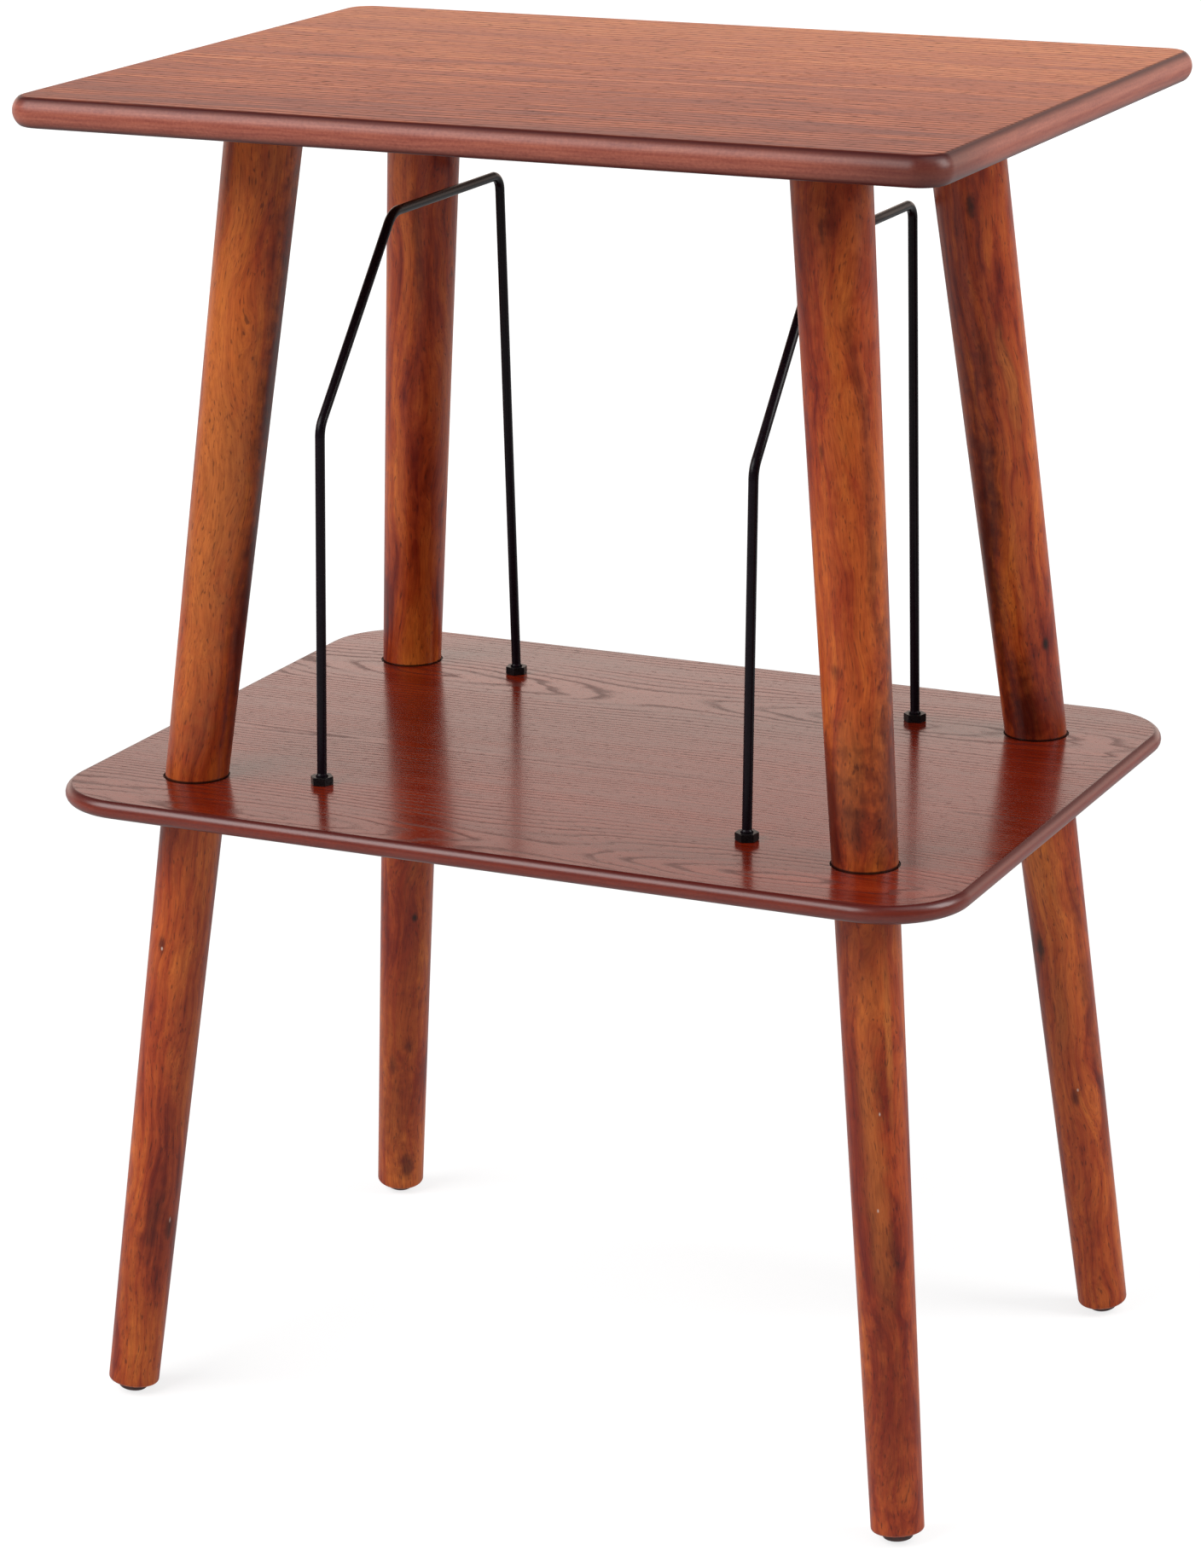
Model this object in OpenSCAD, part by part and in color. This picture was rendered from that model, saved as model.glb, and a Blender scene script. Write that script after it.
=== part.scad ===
// Record storage stand: a veneered top and a shelf on four splayed, tapered wooden legs,
// with two bent wire dividers standing on the shelf.
// Frame: X along the width, Y to the back, Z up. Origin on the floor at the middle.

/* [Tabletop] */
// Height of the top surface above the floor
stand_h = 661; // [620:1:760]
// Width of the top panel
top_w = 468; // [430:1:560]
// Depth of the top panel
top_d = 352; // [330:1:440]
// Thickness of the top panel
top_t = 14.5; // [13:0.5:20]
// How far the rounded edge of the top panel bulges beyond its flat faces
top_bulge = 4.1; // [2:0.1:6]
// Corner radius of the top panel seen from above
top_corner_r = 16; // [8:1:40]

/* [Shelf] */
// Height of the shelf's upper surface above the floor
shelf_z = 322; // [250:1:370]
// Width of the shelf
shelf_w = 471; // [430:1:560]
// Depth of the shelf
shelf_d = 347; // [320:1:440]
// Thickness of the shelf
shelf_t = 9; // [8:0.5:12]
// How far the rounded edge of the shelf bulges beyond its flat faces
shelf_bulge = 3.4; // [1.5:0.1:4]
// Corner radius of the shelf seen from above
shelf_corner_r = 42; // [20:1:60]
// Depth of the shallow seat that each upper leg stands in
seat_depth = 1.5; // [0.5:0.25:2.5]
// Gap round the upper leg inside its seat
seat_gap = 1; // [0.5:0.25:2]

/* [Legs] */
// Angle of each leg from the vertical
leg_splay = 8.1; // [5:0.1:9]
// Distance from a shelf edge to the leg axis, at the shelf's upper surface
leg_inset = 58.5; // [50:0.5:66]
// Diameter of an upper leg under the tabletop
upper_leg_top_dia = 38; // [34:0.5:44]
// Diameter of an upper leg at the shelf
upper_leg_end_dia = 31; // [28:0.5:34]
// Diameter of a lower leg under the shelf
lower_leg_top_dia = 31; // [28:0.5:34]
// Diameter of a lower leg at its foot
lower_leg_end_dia = 25.5; // [20:0.5:28]
// Radius of the rounded rim at the foot of a lower leg
foot_rim_r = 2; // [1:0.25:3]

/* [Glides] */
// Diameter of a glide
glide_dia = 15; // [14:0.5:18]
// Height of a glide from the leg's foot to the middle of its sole
glide_h = 4.5; // [4:0.25:7]
// Radius of the glide's domed sole
glide_sole_r = 34; // [26:1:36]
// Radius of the rounded rim of a glide
glide_rim_r = 2.5; // [0.6:0.1:3]
// Diameter of the nail moulded into a glide
nail_dia = 2.4; // [1.8:0.1:3]
// Length of the nail inside the leg
nail_len = 16; // [12:1:24]
// Diameter of the nail's head inside the glide
nail_head_dia = 7; // [5:0.5:9]
// Thickness of the nail's head
nail_head_t = 1; // [0.8:0.1:1.4]

/* [Dividers] */
// Diameter of the divider wire
wire_dia = 4.8; // [4:0.1:5.5]
// Distance from the middle of the stand to each divider
divider_x = 113; // [90:1:122]
// Distance from the middle of the stand to a front hole in the shelf
divider_front = 104; // [90:1:120]
// Distance from the middle of the stand to a rear hole in the shelf
divider_rear = 111.5; // [90:0.5:125]
// Height of a divider's top bar above the shelf
divider_h = 267; // [220:1:285]
// Height above the shelf at which the front post turns into the slant
front_post_h = 176; // [120:1:200]
// Angle of the slant above the horizontal
slant_angle = 49; // [40:1:60]
// How far the front post leans back at its upper end
front_lean = 8; // [2:0.5:14]
// How far the rear post leans forward at its upper end
rear_lean = 10.5; // [2:0.5:14]
// Bend radius at the rear corner, at the wire's middle line
rear_bend_r = 8; // [6:0.5:14]
// Bend radius at the two ends of the slant, at the wire's middle line
slant_bend_r = 14; // [8:1:20]

/* [Divider fixings] */
// Diameter of the threaded ends of the wire
thread_dia = 6; // [6:0.25:8]
// Length of thread that shows above the upper nut
thread_show = 1.5; // [1:0.5:4]
// Length of thread that shows below the lower nut
thread_tail = 1.5; // [0.5:0.5:4]
// Width of a nut across its flats
nut_flats = 10; // [10:0.5:13]
// Height of a nut
nut_h = 4; // [3:0.25:6]
// Diameter of a washer
washer_dia = 14; // [12:0.5:18]
// Thickness of a washer
washer_t = 1; // [0.8:0.1:1.6]

/* [Leg fixings] */
// Diameter of the leg bolts
bolt_dia = 8; // [6:0.5:9]
// Length of a bolt's wood thread
bolt_wood_len = 28; // [20:1:40]
// Length of a top bolt's machine thread inside the tabletop
top_bolt_len = 7; // [5:0.5:8]
// Length of a shelf bolt's machine thread inside the upper leg
shelf_bolt_len = 18; // [12:1:25]
// Outer diameter of a threaded insert
insert_dia = 12; // [11:0.5:14]
// Length of the inserts in the tabletop
top_insert_len = 8; // [6:0.5:8.5]
// Length of the inserts in the upper legs
leg_insert_len = 20; // [14:1:28]

/* [Clearances] */
// Clearance round a thread inside its nut or insert
thread_gap = 0.1; // [0.05:0.05:0.2]
// Clearance round an insert, a nail or a wood thread in its hole
press_gap = 0.05; // [0.03:0.01:0.1]
// Clearance round a bolt or a wire end where it passes through the shelf
pass_gap = 0.5; // [0.3:0.05:0.8]

/* [Hidden] */

$fn = 96;
// Reach of the blocks that trim the legs, larger than any leg
far = 900;
// Signs of the leg positions: the first is left or right, the second front or rear
LEFT = -1;
RIGHT = 1;
FRONT = -1;
REAR = 1;
SIDES = [LEFT, RIGHT];
ENDS = [FRONT, REAR];

top_underside = stand_h - top_t;
shelf_underside = shelf_z - shelf_t;
seat_z = shelf_z - seat_depth;

// Leg axis: the distance along it is 0 at the shelf's upper surface and grows upwards
leg_x = shelf_w / 2 - leg_inset;
leg_y = shelf_d / 2 - leg_inset;
top_axis = (top_underside - shelf_z) / cos(leg_splay);
seat_axis = (seat_z - shelf_z) / cos(leg_splay);
underside_axis = (shelf_underside - shelf_z) / cos(leg_splay);
// The sole is part of a sphere that touches the floor, so its centre is one sole radius up
sole_centre_axis = (glide_sole_r - shelf_z) / cos(leg_splay);
foot_axis = sole_centre_axis - glide_sole_r + glide_h;

// Growth of each leg's radius for each millimetre along its axis
upper_taper = (upper_leg_top_dia - upper_leg_end_dia) / 2 / top_axis;
lower_taper = (lower_leg_top_dia - lower_leg_end_dia) / 2 / (underside_axis - foot_axis);
// Length by which a leg blank is longer than the leg, before its slanting ends are cut
blank_extra = 10;

seat_dia = upper_leg_end_dia + 2 * seat_gap;
// Depth of an insert's mouth below the face it is driven into, so that its tilted rim is flush
insert_set = insert_dia / 2 * tan(leg_splay) + 0.5;
// Length by which a blind hole is deeper than what goes in it
hole_end = 1;
// Length of the point on a wood thread, and the chamfer on a machine thread
wood_point = 6;
thread_chamfer = 0.8;

glide_r = glide_dia / 2;
// Rise of the sole from its middle to where its rim begins
sole_rise = glide_sole_r - sqrt(pow(glide_sole_r, 2) - pow(glide_r - glide_rim_r, 2));
nail_head_z = -glide_h / 2;

// Hexagon corners of a nut, and the chamfer that rounds them
nut_sides = 6;
nut_corners = nut_flats / cos(180 / nut_sides);
nut_chamfer = 0.5;
// How far each nut is turned on its thread, as front and rear pairs on each divider
LEFT_NUT_TURNS = [11, 41];
RIGHT_NUT_TURNS = [25, 17];

// Heights on a divider, measured from the shelf's upper surface
thread_top = nut_h + thread_show;
lower_nut_top = -shelf_t - washer_t;
thread_bottom = lower_nut_top - nut_h - thread_tail;
// Height at which a post starts inside its thread, so that the thread's shoulder closes round it
post_start = thread_top - 2;
// Corners of the divider's middle line, as distance to the back and height above the shelf
rear_foot = [divider_rear, post_start];
rear_corner = [divider_rear - rear_lean, divider_h];
front_corner = [front_lean - divider_front, front_post_h];
slant_corner = front_corner + (divider_h - front_post_h) * [1 / tan(slant_angle), 1];
front_foot = [-divider_front, post_start];
DIVIDER_LINE = [rear_foot, rear_corner, slant_corner, front_corner, front_foot];
DIVIDER_RADII = [0, rear_bend_r, slant_bend_r, slant_bend_r, 0];
// The wire swells a hair where it is bent, and each straight stretch enters its bends by a lap
bend_swell = 0.04;
bend_lap = 0.4;

// ---------- Placing ----------

// Puts a piece that is drawn along +Z on a leg's axis
module on_leg(side, end, along = 0) {
    translate([side * leg_x, end * leg_y, shelf_z])
        rotate([0, -leg_splay, atan2(end, side)])
            translate([0, 0, along])
                children();
}

// Repeats a piece on all four legs
module on_each_leg(along = 0)
    for (side = SIDES, end = ENDS)
        on_leg(side, end, along) children();

// Place where a leg's axis crosses a given height
function axis_at(side, end, z) =
    let (drift = (shelf_z - z) * tan(leg_splay) / sqrt(2))
    [side * (leg_x + drift), end * (leg_y + drift), z];

// Distance to the back of a divider's front or rear hole
function divider_y(end) = end == FRONT ? -divider_front : divider_rear;

// Repeats a piece at the four holes that the dividers stand in, at a height above the shelf
module at_divider_holes(z)
    for (side = SIDES, end = ENDS)
        translate([side * divider_x, divider_y(end), shelf_z + z])
            rotate(nut_turn(side, end)) children();

function nut_turn(side, end) =
    let (turns = side == LEFT ? LEFT_NUT_TURNS : RIGHT_NUT_TURNS)
    end == FRONT ? turns[0] : turns[1];

// ---------- Panels ----------

// Section through a panel's edge: flat faces that end in a rounded bulge
module edge_section(thickness, bulge, reach) {
    round_r = (pow(thickness / 2, 2) + pow(bulge, 2)) / (2 * bulge);
    translate([0, -thickness / 2])
        square([reach - bulge, thickness]);
    intersection() {
        translate([reach - round_r, 0])
            circle(r = round_r);
        translate([reach - bulge, -thickness / 2])
            square([bulge, thickness]);
    }
}

// A straight stretch of edge that runs along X and faces -Y
module edge_run(length, thickness, bulge, reach)
    rotate([90, 0, -90])
        translate([0, 0, -length / 2])
            linear_extrude(length)
                edge_section(thickness, bulge, reach);

// A panel with bulging edges and rounded corners, its upper face at the given height
module panel(width, depth, thickness, bulge, corner_r, upper_z) {
    inner_w = width - 2 * corner_r;
    inner_d = depth - 2 * corner_r;
    translate([0, 0, upper_z - thickness / 2]) {
        cube([inner_w, inner_d, thickness], center = true);
        for (turn = [0, 180]) {
            rotate(turn)
                translate([0, -inner_d / 2, 0])
                    edge_run(inner_w, thickness, bulge, corner_r);
            rotate(turn + 90)
                translate([0, -inner_w / 2, 0])
                    edge_run(inner_d, thickness, bulge, corner_r);
        }
        for (side = SIDES, end = ENDS)
            translate([side * inner_w / 2, end * inner_d / 2, 0])
                rotate(side == RIGHT ? (end == REAR ? 0 : 270) : (end == REAR ? 90 : 180))
                    rotate_extrude(angle = 90)
                        edge_section(thickness, bulge, corner_r);
    }
}

module tabletop()
    color("#9a5a44")
        difference() {
            panel(top_w, top_d, top_t, top_bulge, top_corner_r, stand_h);
            on_each_leg(top_axis - blank_extra)
                cylinder(d = insert_dia + 2 * press_gap,
                         h = blank_extra + insert_set + top_insert_len + hole_end);
        }

module shelf()
    color("#8a4632")
        difference() {
            panel(shelf_w, shelf_d, shelf_t, shelf_bulge, shelf_corner_r, shelf_z);
            for (side = SIDES, end = ENDS)
                translate(axis_at(side, end, seat_z))
                    cylinder(d = seat_dia, h = 2 * seat_depth);
            on_each_leg(underside_axis - blank_extra)
                cylinder(d = bolt_dia + 2 * pass_gap, h = 2 * blank_extra + shelf_t);
            at_divider_holes(-2 * shelf_t)
                cylinder(d = thread_dia + 2 * pass_gap, h = 3 * shelf_t);
        }

// ---------- Legs ----------

// Everything above a height
module above(z)
    translate([-far, -far, z])
        cube([2 * far, 2 * far, far]);

// Everything below a height
module below(z)
    translate([-far, -far, z - far])
        cube([2 * far, 2 * far, far]);

// A turned taper between the shelf and the tabletop, cut level at both ends
module upper_leg(side, end)
    color("#a0562c")
        difference() {
            on_leg(side, end, -blank_extra)
                cylinder(d1 = upper_leg_end_dia - 2 * upper_taper * blank_extra,
                         d2 = upper_leg_top_dia + 2 * upper_taper * blank_extra,
                         h = top_axis + 2 * blank_extra);
            above(top_underside);
            below(seat_z);
            on_leg(side, end, top_axis - bolt_wood_len - hole_end)
                cylinder(d = bolt_dia + 2 * press_gap, h = bolt_wood_len + hole_end + blank_extra);
            on_leg(side, end, seat_axis - blank_extra)
                cylinder(d = insert_dia + 2 * press_gap,
                         h = blank_extra + insert_set + leg_insert_len + hole_end);
        }

// Section of a lower leg, from the foot with its rounded rim up to a blank end
module lower_leg_section() {
    foot_r = lower_leg_end_dia / 2;
    blank_top = underside_axis + blank_extra;
    polygon([[0, foot_axis],
             [foot_r - foot_rim_r, foot_axis],
             [foot_r, foot_axis + foot_rim_r],
             [lower_leg_top_dia / 2 + lower_taper * blank_extra, blank_top],
             [0, blank_top]]);
    translate([foot_r - foot_rim_r, foot_axis + foot_rim_r])
        circle(r = foot_rim_r);
}

// A turned taper from the shelf's underside to the foot, cut level at its upper end
module lower_leg(side, end)
    color("#96492a")
        difference() {
            on_leg(side, end)
                rotate_extrude()
                    lower_leg_section();
            above(shelf_underside);
            on_leg(side, end, underside_axis - bolt_wood_len - hole_end)
                cylinder(d = bolt_dia + 2 * press_gap, h = bolt_wood_len + hole_end + blank_extra);
            on_leg(side, end, foot_axis - blank_extra)
                cylinder(d = nail_dia + 2 * press_gap, h = blank_extra + nail_len + hole_end);
        }

// ---------- Glides ----------

// Section of a glide below the foot: a domed sole and a rounded rim
module glide_section() {
    rim_z = -glide_h + sole_rise + glide_rim_r;
    intersection() {
        translate([0, glide_sole_r - glide_h])
            circle(r = glide_sole_r, $fn = 4 * $fn);
        translate([0, -glide_h])
            square([glide_r, glide_h]);
        union() {
            translate([0, -glide_h])
                square([glide_r - glide_rim_r, glide_h]);
            translate([0, rim_z])
                square([glide_r, -rim_z]);
            translate([glide_r - glide_rim_r, rim_z])
                circle(r = glide_rim_r);
        }
    }
}

// A moulded glide, with the room that its nail's head and shank fill
module glide(side, end)
    color("#2e1c16")
        on_leg(side, end, foot_axis)
            difference() {
                rotate_extrude()
                    glide_section();
                translate([0, 0, nail_head_z - press_gap])
                    cylinder(d = nail_head_dia + 2 * press_gap, h = nail_head_t + 2 * press_gap);
                translate([0, 0, nail_head_z])
                    cylinder(d = nail_dia + 2 * press_gap, h = glide_h);
            }

module glide_nails()
    color("silver")
        on_each_leg(foot_axis)
            rotate_extrude()
                polygon([[0, nail_head_z],
                         [nail_head_dia / 2, nail_head_z],
                         [nail_head_dia / 2, nail_head_z + nail_head_t],
                         [nail_dia / 2, nail_head_z + nail_head_t],
                         [nail_dia / 2, nail_len - nail_dia],
                         [0, nail_len]]);

// ---------- Dividers ----------

function unit(v) = v / norm(v);

// Angle through which the line turns at a corner: it always turns forward
function turn_at(i) =
    let (a = unit(DIVIDER_LINE[i] - DIVIDER_LINE[i - 1]), b = unit(DIVIDER_LINE[i + 1] - DIVIDER_LINE[i]))
    acos(a * b);

// Length of straight line that a bend takes on each side of its corner
function bend_reach(i) =
    i == 0 || i == len(DIVIDER_LINE) - 1 ? 0 : DIVIDER_RADII[i] * tan(turn_at(i) / 2);

// A straight stretch of wire between the bends at two corners of the line
module wire_run(i) {
    way = unit(DIVIDER_LINE[i + 1] - DIVIDER_LINE[i]);
    start = DIVIDER_LINE[i] + (bend_reach(i) - bend_lap) * way;
    finish = DIVIDER_LINE[i + 1] - (bend_reach(i + 1) - bend_lap) * way;
    translate(start)
        rotate([0, 90, atan2(way[1], way[0])])
            cylinder(d = wire_dia, h = norm(finish - start));
}

// The bend at a corner of the line
module wire_bend(i) {
    way = unit(DIVIDER_LINE[i] - DIVIDER_LINE[i - 1]);
    start = DIVIDER_LINE[i] - bend_reach(i) * way;
    centre = start + DIVIDER_RADII[i] * [-way[1], way[0]];
    translate(centre)
        rotate(atan2(way[1], way[0]) - 90)
            rotate_extrude(angle = turn_at(i))
                translate([DIVIDER_RADII[i], 0])
                    circle(d = wire_dia + bend_swell);
}

// A threaded end of the wire, with its tip at the bottom and a shoulder at the top
module threaded_end()
    rotate_extrude()
        polygon([[0, thread_bottom],
                 [thread_dia / 2 - thread_chamfer, thread_bottom],
                 [thread_dia / 2, thread_bottom + thread_chamfer],
                 [thread_dia / 2, thread_top - thread_chamfer],
                 [wire_dia / 2 - thread_chamfer, thread_top + thread_chamfer],
                 [0, thread_top + thread_chamfer]]);

module divider(side)
    color("#1c181a")
        translate([side * divider_x, 0, shelf_z]) {
            rotate([90, 0, 90]) {
                for (i = [0 : len(DIVIDER_LINE) - 2])
                    wire_run(i);
                for (i = [1 : len(DIVIDER_LINE) - 2])
                    wire_bend(i);
            }
            for (end = ENDS)
                translate([0, divider_y(end), 0])
                    threaded_end();
        }

// ---------- Divider fixings ----------

// A hexagon nut that stands on z = 0, with its corners rounded off above and below
module nut()
    difference() {
        intersection() {
            cylinder(d = nut_corners, h = nut_h, $fn = nut_sides);
            rotate_extrude()
                polygon([[0, 0],
                         [nut_corners / 2 - nut_chamfer, 0],
                         [nut_corners / 2, nut_chamfer / 2],
                         [nut_corners / 2, nut_h - nut_chamfer / 2],
                         [nut_corners / 2 - nut_chamfer, nut_h],
                         [0, nut_h]]);
        }
        translate([0, 0, -nut_h])
            cylinder(d = thread_dia + 2 * thread_gap, h = 3 * nut_h);
    }

module divider_upper_nuts()
    color("#242022")
        at_divider_holes(0)
            nut();

module divider_washers()
    color("silver")
        at_divider_holes(lower_nut_top)
            difference() {
                cylinder(d = washer_dia, h = washer_t);
                translate([0, 0, -washer_t])
                    cylinder(d = thread_dia + 2 * pass_gap, h = 3 * washer_t);
            }

module divider_lower_nuts()
    color("#242022")
        at_divider_holes(lower_nut_top - nut_h)
            nut();

// ---------- Leg fixings ----------

// A hanger bolt on z = 0: a pointed wood thread below and a machine thread above
module hanger_bolt(wood_len, machine_len)
    rotate_extrude()
        polygon([[0, -wood_len],
                 [bolt_dia / 2, wood_point - wood_len],
                 [bolt_dia / 2, machine_len - thread_chamfer],
                 [bolt_dia / 2 - thread_chamfer, machine_len],
                 [0, machine_len]]);

// A threaded insert with its mouth on z = 0
module insert(length)
    difference() {
        cylinder(d = insert_dia, h = length);
        translate([0, 0, -length])
            cylinder(d = bolt_dia + 2 * thread_gap, h = 3 * length);
    }

module top_bolts()
    color("silver")
        on_each_leg(top_axis)
            hanger_bolt(bolt_wood_len, insert_set + top_bolt_len);

module top_inserts()
    color("darkkhaki")
        on_each_leg(top_axis + insert_set)
            insert(top_insert_len);

module shelf_bolts()
    color("silver")
        on_each_leg(underside_axis)
            hanger_bolt(bolt_wood_len, seat_axis - underside_axis + insert_set + shelf_bolt_len);

module leg_inserts()
    color("darkkhaki")
        on_each_leg(seat_axis + insert_set)
            insert(leg_insert_len);

// ---------- The nodes ----------

tabletop();
shelf();
upper_leg(LEFT, FRONT);  // front_left_upper_leg
upper_leg(RIGHT, FRONT);  // front_right_upper_leg
upper_leg(LEFT, REAR);  // rear_left_upper_leg
upper_leg(RIGHT, REAR);  // rear_right_upper_leg
lower_leg(LEFT, FRONT);  // front_left_lower_leg
lower_leg(RIGHT, FRONT);  // front_right_lower_leg
lower_leg(LEFT, REAR);  // rear_left_lower_leg
lower_leg(RIGHT, REAR);  // rear_right_lower_leg
glide(LEFT, FRONT);  // front_left_glide
glide(RIGHT, FRONT);  // front_right_glide
glide(LEFT, REAR);  // rear_left_glide
glide(RIGHT, REAR);  // rear_right_glide
divider(LEFT);  // left_divider
divider(RIGHT);  // right_divider
divider_upper_nuts();
divider_washers();
divider_lower_nuts();
top_bolts();
top_inserts();
shelf_bolts();
leg_inserts();
glide_nails();
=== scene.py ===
"""Storage stand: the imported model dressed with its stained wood, veneer and black wire."""
import math

import bpy
from mathutils import Matrix, Vector


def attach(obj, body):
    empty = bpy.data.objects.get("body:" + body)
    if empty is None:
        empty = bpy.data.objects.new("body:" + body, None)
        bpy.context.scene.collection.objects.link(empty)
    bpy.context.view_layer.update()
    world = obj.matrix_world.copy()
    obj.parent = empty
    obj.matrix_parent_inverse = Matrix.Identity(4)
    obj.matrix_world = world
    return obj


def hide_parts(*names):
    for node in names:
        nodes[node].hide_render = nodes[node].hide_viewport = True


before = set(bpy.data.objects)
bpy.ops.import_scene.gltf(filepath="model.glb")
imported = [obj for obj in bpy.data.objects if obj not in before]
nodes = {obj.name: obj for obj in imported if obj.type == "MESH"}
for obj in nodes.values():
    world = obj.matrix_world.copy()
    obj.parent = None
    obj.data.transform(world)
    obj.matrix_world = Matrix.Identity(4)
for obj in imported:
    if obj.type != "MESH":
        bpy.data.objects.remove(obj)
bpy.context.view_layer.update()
MM = 0.001
scene = bpy.context.scene

# ---------- Sizes taken from the part, in millimetres ----------
LEG_X_AT_FLOOR, LEG_Y_AT_FLOOR = 209.4, 147.4
LEG_SLOPE = 0.10064                  # how far a leg drifts inwards for each millimetre of height
SHELF_TOP = 322.0
TOP_FACE = (229.9, 171.9, 11.9)      # half width, half depth and corner radius of the flat face
SHELF_FACE = (232.1, 170.1, 38.6)
SIDES = {"left": -1, "right": 1}
ENDS = {"front": -1, "rear": 1}


# ---------- Node helpers ----------

def linear(hex_colour):
    """An sRGB hex colour as the linear colour that a shader takes."""
    parts = [int(hex_colour[i:i + 2], 16) / 255 for i in (1, 3, 5)]
    return tuple(c / 12.92 if c <= 0.04045 else ((c + 0.055) / 1.055) ** 2.4 for c in parts) + (1.0,)


def add(tree, kind, inputs=(), stops=(), **settings):
    """Adds one node: its settings, its colour stops, and for each input a value or another node's output."""
    made = tree.nodes.new("ShaderNode" + kind)
    for name, value in settings.items():
        setattr(made, name, value)
    if stops:
        ramp = made.color_ramp
        while len(ramp.elements) < len(stops):
            ramp.elements.new(0.5)
        for element, (place, colour) in zip(ramp.elements, stops):
            element.position = place
            element.color = linear(colour)
    for name, value in (inputs.items() if isinstance(inputs, dict) else enumerate(inputs)):
        socket = made.inputs[name]
        if isinstance(value, bpy.types.Node):
            value = value.outputs[0]
        if isinstance(value, bpy.types.NodeSocket):
            tree.links.new(value, socket)
        else:
            socket.default_value = value
    return made


def new_material(name):
    """An empty material, and the place on the object in millimetres that its patterns start from."""
    material = bpy.data.materials.new(name)
    material.use_nodes = True
    tree = material.node_tree
    tree.nodes.clear()
    place = add(tree, "Mapping", {"Vector": add(tree, "TexCoord").outputs["Object"], "Scale": (1000, 1000, 1000)})
    return material, tree, place


# ---------- Stained wood of the legs ----------

# From its darkest streaks to its palest, golden ones
LEG_TONES = [(0.18, "#440a04"), (0.32, "#721c07"), (0.46, "#9b3b13"), (0.60, "#b4551d"), (0.80, "#cb7029")]
KNOT, RED, DARK, GOLD, DENT = "#1f0a06", "#681709", "#430d06", "#b3642a", "#c9b8ad"
# The last of these is painted shade: the near black of the shaded gap round an upper leg's seat
FIBRE_TINT, PORE_TINT, SEAT_PAINTED_SHADE = "#8c4f2e", "#3a1006", "#160303"

WANDER = (30, 30, 60)                # mm from one extreme of the grain's wandering to the other
RING_GAP = 4.5                       # mm from one growth ring to the next
RING_LEAN = 0.04                     # how much of the height counts in a ring's distance, which closes its arches
RING_LINE_FROM = 0.72                # share of a ring's width at which its thin dark line begins

# The legs' patterns: size in mm across and along the leg, step of the seed, detail, roughness. Fibres and pores are
# 0.2 to 0.3 mm wide in such wood, and are drawn wider so that they show.
LEG_WANDERING = (38, 90, 0, 2.0, 0.5)
LEG_PATTERNS = {
    "broad": (22, 110, 3, 3.0, 0.55),    # clouds where the stain took more or less
    "narrow": (4.6, 60, 5, 3.0, 0.6),    # streaks
    "mottle": (6, 7, 11, 3.0, 0.6),      # short figure across the grain
    "fibre": (0.9, 13, 7, 3.0, 0.7),
    "pores": (0.8, 5, 9, 1.0, 0.4),
}
LEG_TONE_START = -0.28
LEG_TONE_SHARES = {"mottle": 0.14, "ring_swell": 0.14, "narrow": 0.36, "broad": 1.02, "ring_line": -0.045}
LEG_PORE_DEPTH = 0.55                # how much of a pore is PORE_TINT
SEAT_SHADE_FADE = 0.8                # mm over which the painted shade at the foot of an upper leg ends

MARK_REACH, MARK_REACH_GROWTH = 13.0, 0.0078    # a mark's distance from the axis at the floor, and for each mm above
MARK_RAGGEDNESS = 0.9                # how much the mottle frays a mark's rim
FOLLOWS_GRAIN = 4                    # mm of half width above which a mark wanders with the grain


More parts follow.
